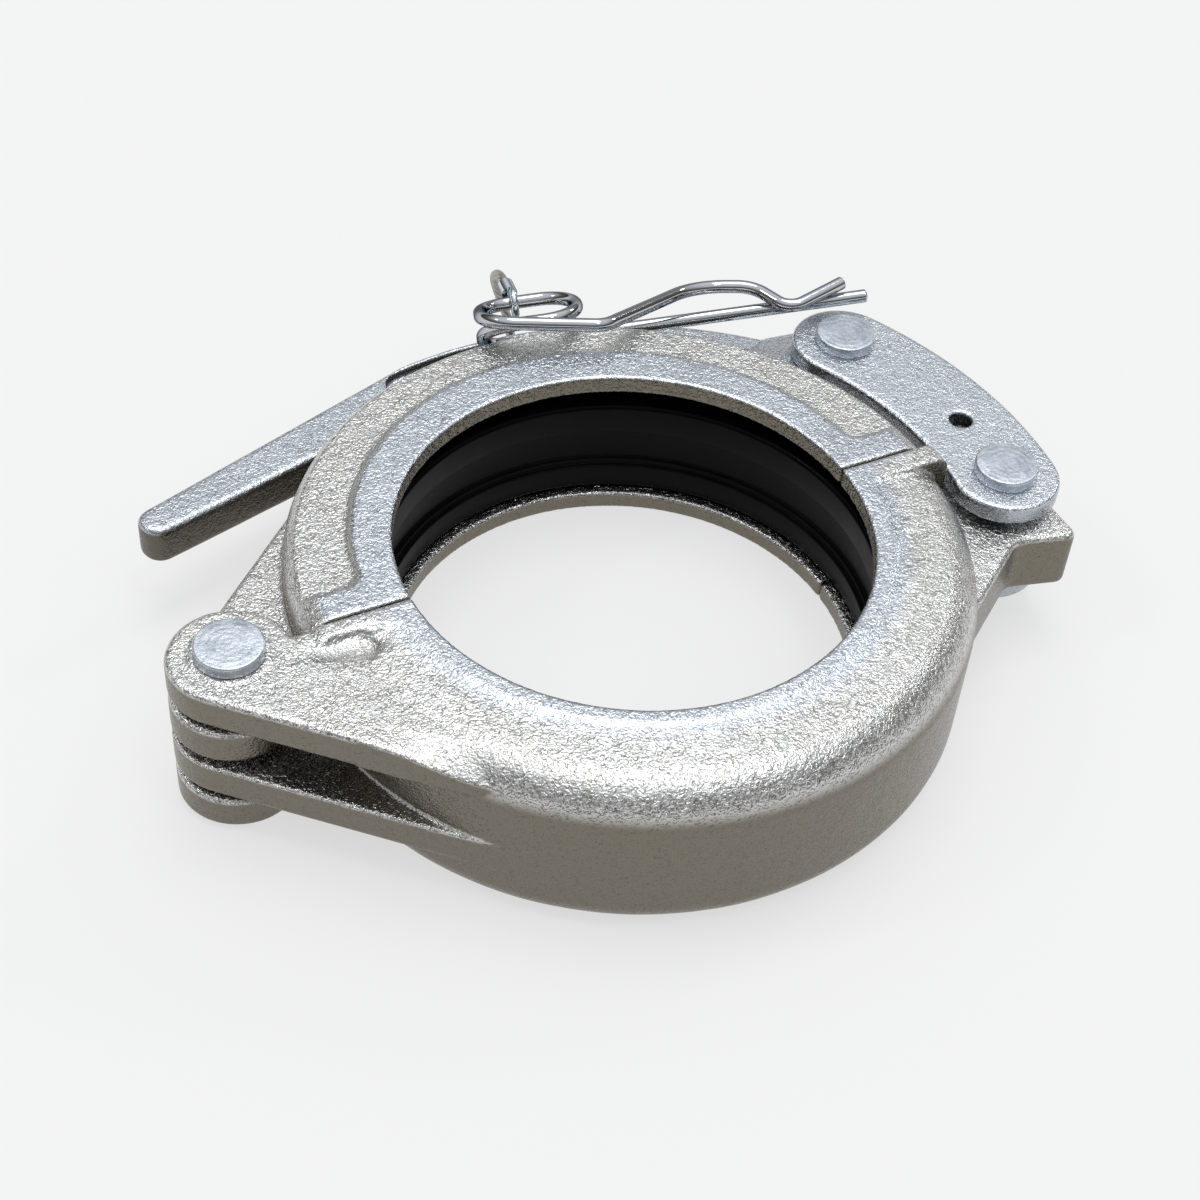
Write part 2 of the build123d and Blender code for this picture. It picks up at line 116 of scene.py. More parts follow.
# the three pins, mm; a fall is measured down from the top of the head
PIN_D = 13.0
PIN_PLAY = 0.05
HEAD_T = 3.6
HEAD_EDGE_R = 0.7
HEAD_UNDER_R = 0.35
CROWN = ((0.0, 0.02), (0.55, 0.04))         # share of the head's radius and the fall there
RIM_FALL = 0.05
TAIL_H = 2.6                # the hinge pin's riveted tail
TAIL_EDGE = ((0.8, 0.2), (1.2, 0.0))        # in from its rim and up from its end

# the halves, mm: the flat band round the bore and the fine line outside its edge
BAND_R = 77.0
BAND_BLUR = (1.2, 1.0)      # the band's finish fades from this far outside its edge to this far inside
LINE_OUT = 0.9
LINE_W = 0.7
LINE_DEPTH = 0.2
# the upper hinge lug and the root that carries it on to the wall
WALL_R = 98.0
HINGE_X = 118.4
LUG_R = 17.0
LUG_LOW = 14.7
LUG_TOP = 24.9
ROOT_START = 42.0           # along the lug's side, from the knuckle's tangent point
ROOT_END = 85.0
ROOT_STATIONS = 25
ROOT_FALL = 7.0             # fall of the root's top edge from start to end
ROOT_SINK = 0.7             # and of the shelf inside it
ROOT_SKIN = 0.1             # the root's side lies this far inside the lug's
ROOT_TUCK = 3.0             # and this much further at its end
ROOT_SHELF = 9.0            # the shelf reaches from here
ROOT_DEEP = 22.0            # to here, inwards from the lug's side
# the hollow beside the hinge land: middle, turn in degrees, then half length, half width and depth
SCOOP_AT = (-89.0, -10.6)
SCOOP_TURN = 7.0
SCOOP_SIZE = (11.5, 6.6, 1.5)
SCOOP_BOWL = 1.2            # exponent of its section, 1 for a parabola
SCOOP_FROM = (16.0, 20.0)   # it sets in between these heights
# the split faces and the coined lands
SPLIT_REACH = 108.0         # a face further from the bore's axis than this isn't swollen
SPLIT_NEAR = (1.3, 1.0)     # the swelling sets in between these distances from the split plane
SPLIT_SWELL = 0.62
LAND_LOW = 24.0             # the front half's land is above this
LAND_RISE = 1.0
LAND_TOP = 26.3             # height of the rear half's land
LAND_BLUR = (0.8, 0.2)      # its finish sets in between these depths below it
# ranges for the part of a face's normal that lies along a direction
FACING = (0.6, 0.9)         # from aslant to facing that way
TURNING = (0.1, 0.6)        # upwards, from wall to upper face
HOLLOWED = (0.1, 0.5)       # upwards, where the hollow sets in

# the gasket's section, mm
GASKET_LOW = 10.4
GASKET_GROOVE_W = 11.0
GASKET_GROOVE_D = 2.8
GASKET_T = 9.9
GASKET_LIP_W = 1.6
GASKET_EDGE_R = 0.5
GASKET_SKIN = 0.02          # the moulding lies this far inside the solid
GASKET_SIDES = 256

# uneven skins: wavelengths of the forged waves and smoothing steps, then for each finish the size and
# depth of its crinkles and its roughness
WAVES_EACH = 6              # plane waves of each length
FORGING_WAVES = (26 * MM, 13 * MM, 7 * MM)
LEVER_WAVES = (30 * MM, 14 * MM)
PLATE_WAVES = (30 * MM,)
PLATE_WAVE_DEPTH = 0.03 * MM
PLATE_STEPS = 4
LEVER_MORE_STEPS = 4
FORGING_SKIN = (1.25 * MM, 0.36 * MM, 0.24)
LEVER_SKIN = (1.1 * MM, 0.24 * MM, 0.25)
PLATE_SKIN = (1.0 * MM, 0.22 * MM, 0.25)

# the studio dome's colours by height, as the sine of the angle above the horizon
DOME = (
    (0.10, "#F5F5F5"), (0.17, "#453F37"), (0.45, "#6E6B66"), (0.66, "#BDC1C6"), (0.80, "#E0E3E7"),
    (0.95, "#EEF0F2"))
FLOOR_HALF = 6              # half the floor's side, metres
FLOOR_LIFT = 0.7            # share of the floor's own colour where the eye, metal or glass meets it
# lamps: name, direction towards it, power, width in degrees, tint
LAMPS = (
    ("overhead_softbox", (0.10, 0.20, 0.96), 0.80, 32, (1.0, 0.99, 0.97)),
    ("back_right_window", (0.50, 0.66, 0.62), 0.16, 60, (0.95, 0.98, 1.0)),
    ("left_strip", (-0.60, 0.35, 0.75), 0.18, 7, (1.0, 1.0, 1.0)),
    ("front_strip", (0.15, -0.30, 0.95), 0.18, 7, (1.0, 1.0, 1.0)),
    ("right_strip", (0.80, 0.25, 0.55), 0.18, 7, (1.0, 1.0, 1.0)))

# the photograph's camera: place in mm, its turn and heading in degrees, its lens in mm
CAMERA_AT = (-222.2, -372.1, 424.7)
CAMERA_TURN = (45.33073, -3.37002, 4.40145)
CAMERA_HEADING = -30.85
CAMERA_LENS = 63.26


def linear(code):
    """Linear red, green, blue and alpha of an sRGB hex colour."""
    channels = [int(code[i:i + 2], 16) / 255 for i in (1, 3, 5)]
    return [c / 12.92 if c <= 0.04045 else ((c + 0.055) / 1.055) ** 2.4 for c in channels] + [1.0]


def colour(code, name, description):
    """A colour property with its default written as sRGB hex."""
    return FloatVectorProperty(
        name=name, description=description, subtype="COLOR", size=4, min=0, max=1, default=linear(code))


class ClampLook(bpy.types.PropertyGroup):
    """Sizes and colours that a user would change."""

    forging_mesh: FloatProperty(
        name="Forging mesh", description="Edge length of the softened forgings",
        default=0.55 * MM, unit="LENGTH")
    plate_mesh: FloatProperty(
        name="Plate mesh", description="Edge length of the softened plates",
        default=0.55 * MM, unit="LENGTH")
    forging_waves: FloatProperty(
        name="Forging waviness", description="Depth of the forgings' uneven skin",
        default=0.06 * MM, unit="LENGTH")
    forging_steps: IntProperty(
        name="Forging rounding", description="Smoothing steps on the forged edges",
        default=4, min=0, max=40)
    forging_top: colour("#DDDDDB", "Forging", "Silver of the galvanised halves' upper faces")
    # painted shade: the halves' walls are given a darker, browner colour than their upper faces
    forging_wall_shade: colour("#7C766B", "Forging walls", "Duller, browner zinc on the halves' walls")
    land_colour: colour("#D6DCE4", "Lands", "Bluish white zinc on the smoother coined lands")
    plate_colour: colour("#D8DEE5", "Plate", "Bluish white zinc on the plates")
    # painted shade: the plates' edges are given a darker colour than their faces
    plate_wall_shade: colour("#B4BAC0", "Plate edges", "Zinc on the plates' cut edges")
    lever_colour: colour("#D3D9E0", "Lever", "Bluish white zinc on the lever")
    # painted shade: the lever's sides are given a darker colour than its upper faces
    lever_wall_shade: colour("#66615A", "Lever walls", "Duller zinc on the lever's sides")
    pin_colour: colour("#E4EBF3", "Pins", "Zinc on the turned pins")
    wire_colour: colour("#C4C7CB", "Wire", "Bright zinc on the spring wire")
    rope_colour: colour("#C6C5C1", "Rope", "Bare steel strands")
    rubber_colour: colour("#0B0B0B", "Rubber", "Black moulded rubber")
    floor_colour: colour("#F5F5F5", "Floor", "Pale floor and background")


def feed(tree, socket, value):
    """Links another node's output to a socket, or sets the socket to a value."""
    if isinstance(value, bpy.types.NodeSocket):
        tree.links.new(value, socket)
    else:
        socket.default_value = value


def put(tree, kind, sockets=(), **settings):
    """Adds a node with its settings; a socket takes a value or another node's output."""
    item = tree.nodes.new(kind)
    for name, value in settings.items():
        setattr(item, name, value)
    for name, value in dict(sockets).items():
        feed(tree, item.inputs[name], value)
    return item


def new_material(name):
    """An empty material: its tree, its surface shader and the piece's own coordinates."""
    material = bpy.data.materials.new(name)
    material.use_nodes = True
    tree = material.node_tree
    tree.nodes.clear()
    shader = put(tree, "ShaderNodeBsdfPrincipled")
    put(tree, "ShaderNodeOutputMaterial", {"Surface": shader.outputs["BSDF"]})
    place = put(tree, "ShaderNodeTexCoord").outputs["Object"]
    return material, tree, shader, place


def grain(tree, place, size, detail=3.0, roughness=0.55):
    """Noise whose blobs are about size metres across."""
    return put(tree, "ShaderNodeTexNoise", {
        "Vector": place, "Scale": 1 / size, "Detail": detail, "Roughness": roughness}).outputs["Fac"]


def blend_colour(tree, factor, first, second):
    """Colour between two colours by a factor."""
    mix = put(tree, "ShaderNodeMix", {"Factor": factor}, data_type="RGBA")
    feed(tree, mix.inputs[6], first)
    feed(tree, mix.inputs[7], second)
    return mix.outputs[2]


def ranged(tree, value, low, high, to_low=0.0, to_high=1.0):
    """The value moved from one range to another and held there."""
    span = {"From Min": low, "From Max": high, "To Min": to_low, "To Max": to_high}
    return put(tree, "ShaderNodeMapRange", {"Value": value, **span}).outputs["Result"]


def combined(tree, operation, first, second):
    """Two numbers joined by one operation."""
    node = put(tree, "ShaderNodeMath", operation=operation)
    feed(tree, node.inputs[0], first)
    feed(tree, node.inputs[1], second)
    return node.outputs[0]


def mesh_value(tree, name):
    """A number stored on the mesh's points."""
    return put(tree, "ShaderNodeAttribute", attribute_name=name).outputs["Fac"]


def zinc_on_forging(name, top, wall, land, peel, depth, roughness):
    """Galvanised drop forging: shot-blasted scale under zinc, an orange-peel skin of short crinkles.

    The walls take a darker, browner colour than the upper faces, which is painted shade, and the coined
    lands are smoother.
    Crinkles of size peel and lumps three times as large give the bump; its low spots lean towards the wall
    colour and the crinkles' pits are darker, both painted shade.
    """
    material, tree, shader, place = new_material(name)
    crinkle = put(tree, "ShaderNodeTexNoise", {
        "Vector": place, "Scale": 1 / peel, "Detail": 1.0, "Roughness": 0.45,
        "Distortion": 1.3}).outputs["Fac"]
    lumps = grain(tree, place, peel * 3.0, 2.0, 0.5)
    fine = grain(tree, place, peel * 0.4, 2.0, 0.5)
    steep, flat = mesh_value(tree, "steep"), mesh_value(tree, "land")
    height = combined(tree, "ADD", crinkle, combined(tree, "MULTIPLY", lumps, 0.8))
    height = combined(tree, "ADD", height, combined(tree, "MULTIPLY", fine, 0.25))
    calm = ranged(tree, flat, 0.0, 1.0, 1.0, 0.75)
    bump = put(tree, "ShaderNodeBump", {"Strength": calm, "Distance": depth, "Height": height})
    tree.links.new(bump.outputs["Normal"], shader.inputs["Normal"])
    cloud = grain(tree, place, 22 * MM, 4.0, 0.6)
    clouded = ranged(tree, cloud, 0.38, 0.62, 0.0, 0.12)
    # painted shade: the bump's low spots lean towards the wall colour; the cloud is random tone
    shade = combined(tree, "ADD", clouded, ranged(tree, height, 0.8, 1.05, 0.12, 0.0))
    upper = blend_colour(tree, flat, top, land)
    # painted shade: steep walls take the darker wall colour
    skin = blend_colour(tree, combined(tree, "MAXIMUM", steep, shade), upper, wall)
    # painted shade: the crinkles' pits are darkened
    pits = ranged(tree, crinkle, 0.42, 0.34, 0.0, 0.25)
    skin = blend_colour(tree, pits, skin, linear("#55534E"))
    tree.links.new(skin, shader.inputs["Base Color"])
    rough = ranged(tree, fine, 0.35, 0.65, roughness - 0.05, roughness + 0.07)
    tree.links.new(rough, shader.inputs["Roughness"])
    shader.inputs["Metallic"].default_value = 1.0
    return material


def turned_zinc(name, tint, centre):
    """Turned steel pin with thin zinc: faint lathe rings about the pin's own axis, specks and blots.

    Real turning marks are about 0.2 mm apart. They are drawn 2 mm apart, so that they show.
    """
    material, tree, shader, place = new_material(name)
    own = put(tree, "ShaderNodeMapping", {
        "Vector": place, "Location": (-centre[0], -centre[1], 0.0)}).outputs[0]
    rings = put(tree, "ShaderNodeTexWave", {
        "Vector": own, "Scale": 1 / (6.3 * MM), "Distortion": 1.5, "Detail": 2.0, "Detail Scale": 1.0},
        wave_type="RINGS", rings_direction="Z").outputs["Fac"]
    specks = grain(tree, own, 0.9 * MM, 4.0, 0.65)
    blots = grain(tree, own, 4.0 * MM, 3.0, 0.6)
    height = combined(tree, "ADD", combined(tree, "MULTIPLY", rings, 0.2), specks)
    bump = put(tree, "ShaderNodeBump", {"Strength": 1.0, "Distance": 0.12 * MM, "Height": height})
    tree.links.new(bump.outputs["Normal"], shader.inputs["Normal"])
    skin = blend_colour(tree, ranged(tree, blots, 0.35, 0.7), tint, linear("#B7C0CA"))
    tree.links.new(skin, shader.inputs["Base Color"])
    tree.links.new(ranged(tree, specks, 0.35, 0.65, 0.24, 0.4), shader.inputs["Roughness"])
    shader.inputs["Metallic"].default_value = 1.0
    return material


def bright_zinc(name, tint):
    """Cold-drawn spring wire with bright zinc: near mirror, with soft marks, darker where it turns away."""
    material, tree, shader, place = new_material(name)
    marks = grain(tree, place, 1.4 * MM, 2.0, 0.5)
    bump = put(tree, "ShaderNodeBump", {"Strength": 0.35, "Distance": 0.03 * MM, "Height": marks})
    tree.links.new(bump.outputs["Normal"], shader.inputs["Normal"])
    tree.links.new(ranged(tree, marks, 0.3, 0.7, 0.04, 0.10), shader.inputs["Roughness"])
    shader.inputs["Base Color"].default_value = tint
    shader.inputs["Specular Tint"].default_value = linear("#6A6E73")
    shader.inputs["Metallic"].default_value = 1.0
    return material


def drawn_strand(name, tint):
    """Stranded wire rope: drawn wires, dulled by handling, with painted shade darkening the grooves between
    the strands.
    """
    material, tree, shader, place = new_material(name)
    marks = grain(tree, place, 0.5 * MM, 3.0, 0.6)
    edge = put(tree, "ShaderNodeNewGeometry").outputs["Pointiness"]
    # painted shade: darker in the grooves between the strands, found by the surface's pointiness
    grooves = ranged(tree, edge, 0.46, 0.54, 0.9, 0.0)
    shade = combined(tree, "ADD", grooves, ranged(tree, marks, 0.4, 0.7, 0.0, 0.3))
    tree.links.new(blend_colour(tree, shade, tint, linear("#6E6C68")), shader.inputs["Base Color"])
    tree.links.new(ranged(tree, marks, 0.3, 0.7, 0.3, 0.5), shader.inputs["Roughness"])
    shader.inputs["Metallic"].default_value = 0.9
    return material


def moulded_rubber(name, tint):
    """Black nitrile rubber from a polished mould: satin skin with a faint bloom and dust."""
    material, tree, shader, place = new_material(name)
    bloom = grain(tree, place, 14 * MM, 5.0, 0.65)
    skin = grain(tree, place, 0.7 * MM, 2.0, 0.5)
    bump = put(tree, "ShaderNodeBump", {"Strength": 0.5, "Distance": 0.03 * MM, "Height": skin})
    tree.links.new(bump.outputs["Normal"], shader.inputs["Normal"])
    faded = blend_colour(tree, ranged(tree, bloom, 0.45, 0.8), tint, linear("#151515"))
    tree.links.new(faded, shader.inputs["Base Color"])
    tree.links.new(ranged(tree, bloom, 0.3, 0.7, 0.26, 0.40), shader.inputs["Roughness"])
    shader.inputs["Specular IOR Level"].default_value = 0.07
    return material


def waviness(points, waves, depth, seed):
    """Uneven skin: for each wavelength (metres), the mean of a few plane waves of random direction.

    Each mean is scaled by the depth over the wavelength's rank, and all are added.
    """
    rng = np.random.default_rng(seed)
    total = np.zeros(len(points))
    for rank, length in enumerate(waves, 1):
        direction = rng.normal(size=(WAVES_EACH, 3))
        direction /= np.linalg.norm(direction, axis=1, keepdims=True)
        phase = rng.uniform(0, 2 * np.pi, WAVES_EACH)
        wave = np.sin(points @ direction.T * (2 * np.pi / length) + phase)
        total += wave.sum(axis=1) * depth / rank / WAVES_EACH
    return total


def mesh_object(name, points, faces, smooth=True):
    """An object at the origin from arrays of points and faces, doubles merged and normals outwards."""
    mesh = bpy.data.meshes.new(name)
    mesh.from_pydata(np.asarray(points).tolist(), [], np.asarray(faces).tolist())
    shape = bmesh.new()
    shape.from_mesh(mesh)
    bmesh.ops.remove_doubles(shape, verts=shape.verts, dist=1e-6)
    bmesh.ops.dissolve_degenerate(shape, edges=shape.edges, dist=1e-7)
    bmesh.ops.recalc_face_normals(shape, faces=shape.faces)
    shape.to_mesh(mesh)
    shape.free()
    mesh.polygons.foreach_set("use_smooth", [smooth] * len(mesh.polygons))
    piece = bpy.data.objects.new(name, mesh)
    bpy.context.scene.collection.objects.link(piece)
    return piece


def grid_faces(rows, columns, close_rows=False):
    """Quads of a grid of rows by columns of points, joined round each row, and round the rows if asked."""
    row = np.arange(rows if close_rows else rows - 1)[:, None]
    column = np.arange(columns)[None, :]
    down, right = (row + 1) % rows, (column + 1) % columns
    here, below = row * columns, down * columns
    corners = [here + column, here + right, below + right, below + column]
    return np.stack([c.ravel() for c in np.broadcast_arrays(*corners)], axis=1)


def lathe(name, profile, centre, steps=96):
    """Surface of revolution: a profile of radius and height, mm, turned about the centre's upright axis.

    A profile that begins and ends on the axis closes there in poles, and any other is joined end to end.
    """
    profile = np.array(profile) * MM
    angle = np.linspace(0, 2 * np.pi, steps, endpoint=False)
    x = profile[:, 0, None] * np.cos(angle) + centre[0]
    y = profile[:, 0, None] * np.sin(angle) + centre[1]
    z = np.broadcast_to(profile[:, 1, None], x.shape) + centre[2]
    points = np.stack([x, y, z], axis=-1).reshape(-1, 3)
    closed = profile[0, 0] > 0 and profile[-1, 0] > 0
    return mesh_object(name, points, grid_faces(len(profile), steps, close_rows=closed))


def arc(cx, cy, radius, start, end, steps=6):
    """Points of an arc in the profile plane, degrees."""
    angle = np.radians(np.linspace(start, end, steps))
    return [(cx + radius * math.cos(a), cy + radius * math.sin(a)) for a in angle]


def frames_along(path):
    """Two crosswise directions at each point of a path, carried along it without twist."""
    tangent = np.gradient(path, axis=0)
    tangent /= np.linalg.norm(tangent, axis=1, keepdims=True)
    start = np.cross(tangent[0], (0.0, 0.0, 1.0) if abs(tangent[0][2]) < 0.9 else (1.0, 0.0, 0.0))
    sides = [start / np.linalg.norm(start)]
    for along in tangent[1:]:
        side = sides[-1] - along * (sides[-1] @ along)
        sides.append(side / np.linalg.norm(side))
    sides = np.array(sides)
    return sides, np.cross(tangent, sides)


def carried(name, path, radius):
    """Tube: at each point of the path a section of radius(point, angle); a radius of nothing is a pole."""
    side, up = frames_along(path)
    steps = radius.shape[1]
    angle = np.linspace(0, 2 * np.pi, steps, endpoint=False)
    ring = side[:, None] * np.cos(angle)[None, :, None] + up[:, None] * np.sin(angle)[None, :, None]
    points = path[:, None] + ring * radius[:, :, None]
    return mesh_object(name, points.reshape(-1, 3), grid_faces(len(path), steps))


def capped(path, radius, cap, steps=10):
    """A path and its radii with rounded ends: the last cap metres shrink as a quarter ellipse."""
    way = np.concatenate([[0], np.cumsum(np.linalg.norm(np.diff(path, axis=0), axis=1))])
    stretch = cap * (1 - np.cos(np.linspace(0, np.pi / 2, steps)))
    inner = way[(way > cap) & (way < way[-1] - cap)]
    stations = np.concatenate([stretch, inner, way[-1] - stretch[::-1]])
    points = np.stack([np.interp(stations, way, path[:, i]) for i in range(3)], axis=1)
    from_end = np.minimum(stations, way[-1] - stations)
    shrink = np.sqrt(np.clip(1 - (1 - np.clip(from_end / cap, 0, 1)) ** 2, 0, 1))
    return points, radius * shrink


def rounded(corners, radii, step):
    """A path through corners whose bends are arcs of the given radii, with points about step apart.

    An arc's point turns from the first radius to the last by the spherical blend of the two.
    """
    corners = [Vector(c) for c in corners]
    points = [corners[0]]
    for before, at, after, radius in zip(corners, corners[1:], corners[2:], radii):
        back, ahead = (before - at).normalized(), (after - at).normalized()
        half = back.angle(ahead) / 2
        setback = radius / math.tan(half)
        middle = at + (back + ahead).normalized() * radius / math.sin(half)
        first, last = at + back * setback - middle, at + ahead * setback - middle
        turn = first.angle(last)
        count = max(3, int(turn * radius / step))
        for i in range(count + 1):
            part = i / count
            blend = first * math.sin((1 - part) * turn) + last * math.sin(part * turn)
            points.append(middle + blend / math.sin(turn))
    points.append(corners[-1])
    return np.array([list(p) for p in points])


def spread(path, step):
    """The path with points an even step apart."""
    way = np.concatenate([[0], np.cumsum(np.linalg.norm(np.diff(path, axis=0), axis=1))])
    keep = np.concatenate([[True], np.diff(way) > 1e-9])
    way, path = way[keep], path[keep]
    stations = np.linspace(0, way[-1], int(way[-1] / step) + 2)
    return np.stack([np.interp(stations, way, path[:, i]) for i in range(3)], axis=1)


def smoothstep(values, low, high):
    """Rises from 0 at low to 1 at high along a cubic, as an array."""
    part = np.clip((values - low) / (high - low), 0, 1)
    return part * part * (3 - 2 * part)


def vectors(items, name):
    """An array of the vectors that a mesh collection keeps."""
    values = np.empty(len(items) * 3)
    items.foreach_get(name, values)
    return values.reshape(-1, 3)


def put_value(mesh, name, values):
    """Stores a number on each point of the mesh."""
    mesh.attributes.new(name, "FLOAT", "POINT").data.foreach_set("value", values.astype(np.float32))


def lug_root(flip):
    """A closed wedge that carries the upper lug on to the ring wall; flip turns it over about X.

    Its outer side is the lug's own side, the line from the knuckle tangent to the wall, tucked in at its
    end. Its top edge falls along a half cosine from the lug's face, and from that edge the top slopes up
    inwards to a shelf under the crown.
    """
    lean = (WALL_R - LUG_R) / HINGE_X
    reach = math.sqrt(1 - lean ** 2)
    along = np.linspace(ROOT_START, ROOT_END, ROOT_STATIONS)
    x = -HINGE_X - LUG_R * lean + along * reach
    y = -LUG_R * reach - along * lean
    part = (along - ROOT_START) / (ROOT_END - ROOT_START)
    top = LUG_TOP - ROOT_FALL * (1 - np.cos(np.pi * part)) / 2
    tuck = ROOT_SKIN + ROOT_TUCK * part ** 4
    shelf = LUG_TOP - ROOT_SINK * (1 - np.cos(np.pi * part)) / 2
    section = ((tuck, LUG_LOW), (tuck, top), (ROOT_SHELF, shelf), (ROOT_DEEP, shelf), (ROOT_DEEP, LUG_LOW),
               (ROOT_SHELF, LUG_LOW))
    corners = [np.stack([x + inward * lean, y + inward * reach, np.broadcast_to(height, x.shape)], axis=1)
               for inward, height in section]
    points = np.stack(corners, axis=1).reshape(-1, 3) * MM
    if flip:
        points *= (1, -1, -1)
    first_end = np.array([[0, 1, 2, 5], [2, 3, 4, 5]])
    last_end = first_end[:, ::-1] + len(section) * (ROOT_STATIONS - 1)
    return points, np.vstack([grid_faces(ROOT_STATIONS, len(section)), first_end, last_end])


def softened(node, name, size, steps, waves, depth, seed, land=None, relief=None, extra=None):
    """A copy of a CAD node in even quads, its edges smoothed off, thinned if heavy, its skin made uneven.

    A closed shell given as extra is joined on first. Each point moves along its normal by the waviness and
    by relief(points, normals). The mesh keeps two numbers on its points: steep, which rises as the upward
    part of the normal falls, and land, the share of coined land.
    """
    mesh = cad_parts[node].data.copy()
    shape = bmesh.new()
    shape.from_mesh(mesh)
    bmesh.ops.remove_doubles(shape, verts=shape.verts, dist=1e-6)
    if extra:
        more = mesh_object(name + "_root", *extra)
        shape.from_mesh(more.data)
        bpy.data.objects.remove(more)
    shape.to_mesh(mesh)
    shape.free()
    piece = bpy.data.objects.new(name, mesh)
    bpy.context.scene.collection.objects.link(piece)
    remesh = piece.modifiers.new("even", "REMESH")
    remesh.mode = "VOXEL"
    remesh.voxel_size = size
    smooth = piece.modifiers.new("rounded", "SMOOTH")
    smooth.factor = 0.5
    smooth.iterations = steps
    evaluated = piece.evaluated_get(bpy.context.evaluated_depsgraph_get())
    triangles = 2 * len(evaluated.data.polygons)
    if triangles > MOST_TRIANGLES:
        thin = piece.modifiers.new("thinned", "DECIMATE")
        thin.ratio = MOST_TRIANGLES / triangles
        evaluated = piece.evaluated_get(bpy.context.evaluated_depsgraph_get())
    final = bpy.data.meshes.new_from_object(evaluated)
    piece.modifiers.clear()
    piece.data = final
    points, normals = vectors(final.vertices, "co"), vectors(final.vertex_normals, "vector")
    # steep later picks out the walls for their painted shade
    put_value(final, "steep", 1 - smoothstep(normals[:, 2], *TURNING))
    put_value(final, "land", land(points) if land else np.zeros(len(points)))
    shift = waviness(points, waves, depth, seed)
    if relief:
        shift += relief(points, normals)
    points += normals * shift[:, None]
    final.vertices.foreach_set("co", points.ravel())
    final.polygons.foreach_set("use_smooth", [True] * len(final.polygons))
    final.materials.clear()
    final.update()
    return piece


def dress(piece, material, body=None, nodes=()):
    """Gives a piece its finish and its body, and hides the CAD nodes that it stands for."""
    piece.data.materials.clear()
    piece.data.materials.append(material)
    if body:
        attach(piece, body)
    if nodes:
        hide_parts(*nodes)
    return piece


def centre_of(node):
    """Middle of a CAD node's box."""
    low, high = (Vector(c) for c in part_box(node))
    return (low + high) / 2


def end_faces(points, normals, side):
    """Share of the ring's split faces, on the side of the split plane given by side."""
    out = np.hypot(points[:, 0], points[:, 1]) / MM
    near = smoothstep(-np.abs(points[:, 1]) / MM, -SPLIT_NEAR[0], -SPLIT_NEAR[1])
    return smoothstep(-side * normals[:, 1], *FACING) * near * (out < SPLIT_REACH)


def front_relief(points, normals):
    """Swollen split faces, a fine line round the inner band, and the oval scoop beside the land, metres.

    The line's section is a bell curve of the distance from its middle. The scoop's depth is a power of one
    less the squared distance from its middle, measured in its half length and half width.
    """
    out = np.hypot(points[:, 0], points[:, 1]) / MM
    upper = smoothstep(normals[:, 2], *FACING) * (points[:, 2] > LAND_LOW * MM)
    line = np.exp(-((out - BAND_R - LINE_OUT) / LINE_W) ** 2)
    x, y = points[:, 0] / MM - SCOOP_AT[0], points[:, 1] / MM - SCOOP_AT[1]
    turn = math.radians(SCOOP_TURN)
    along, off = x * math.cos(turn) + y * math.sin(turn), y * math.cos(turn) - x * math.sin(turn)
    length, width, depth = SCOOP_SIZE
    hollow = np.clip(1 - (along / length) ** 2 - (off / width) ** 2, 0, 1)
    above = smoothstep(points[:, 2] / MM, *SCOOP_FROM) * smoothstep(normals[:, 2], *HOLLOWED)
    dent = depth * hollow ** SCOOP_BOWL * above
    return (SPLIT_SWELL * end_faces(points, normals, -1) - LINE_DEPTH * line * upper - dent) * MM


def rear_relief(points, normals):
    """Swollen split faces, metres."""
    return SPLIT_SWELL * MM * end_faces(points, normals, 1)


def front_land(points):
    """Share of coined land on the front half: inside the band's radius, on top."""
    out = np.hypot(points[:, 0], points[:, 1]) / MM
    inside = smoothstep(-out, -BAND_R - BAND_BLUR[0], -BAND_R + BAND_BLUR[1])
    return inside * smoothstep(points[:, 2] / MM, LAND_LOW - LAND_RISE, LAND_LOW)


def rear_land(points):
    """Share of coined land on the rear half: everything above the recess."""
    return smoothstep(points[:, 2] / MM, LAND_TOP - LAND_BLUR[0], LAND_TOP - LAND_BLUR[1])


class CLAMP_OT_halves(bpy.types.Operator):
    """Softens the two forged halves and gives them their galvanised skin."""

    bl_idname = "clamp.halves"
    bl_label = "Forged halves"

    def execute(self, context):
        look = context.scene.clamp_look
        skin = zinc_on_forging(
            "galvanised_drop_forging", look.forging_top, look.forging_wall_shade, look.land_colour, *FORGING_SKIN)
        pair = (("front_half", "root", 3, front_land, front_relief, lug_root(False)),
                ("rear_half", "rear", 8, rear_land, rear_relief, lug_root(True)))
        for node, body, seed, land, relief, root in pair:
            piece = softened(
                node, node + "_forging", look.forging_mesh, look.forging_steps, FORGING_WAVES,
                look.forging_waves, seed, land, relief, root)
            dress(piece, skin, body, [node])
        return {"FINISHED"}


class CLAMP_OT_lever(bpy.types.Operator):
    """Softens the forged lever and gives it its zinc plating."""

    bl_idname = "clamp.lever"
    bl_label = "Lever"

    def execute(self, context):
        look = context.scene.clamp_look
        skin = zinc_on_forging(
            "zinc_plated_lever_forging", look.lever_colour, look.lever_wall_shade, look.lever_colour, *LEVER_SKIN)
        piece = softened(
            "lever", "lever_forging", look.plate_mesh, look.forging_steps + LEVER_MORE_STEPS, LEVER_WAVES,
            look.forging_waves, 5)
        dress(piece, skin, "lever", ["lever"])
        return {"FINISHED"}


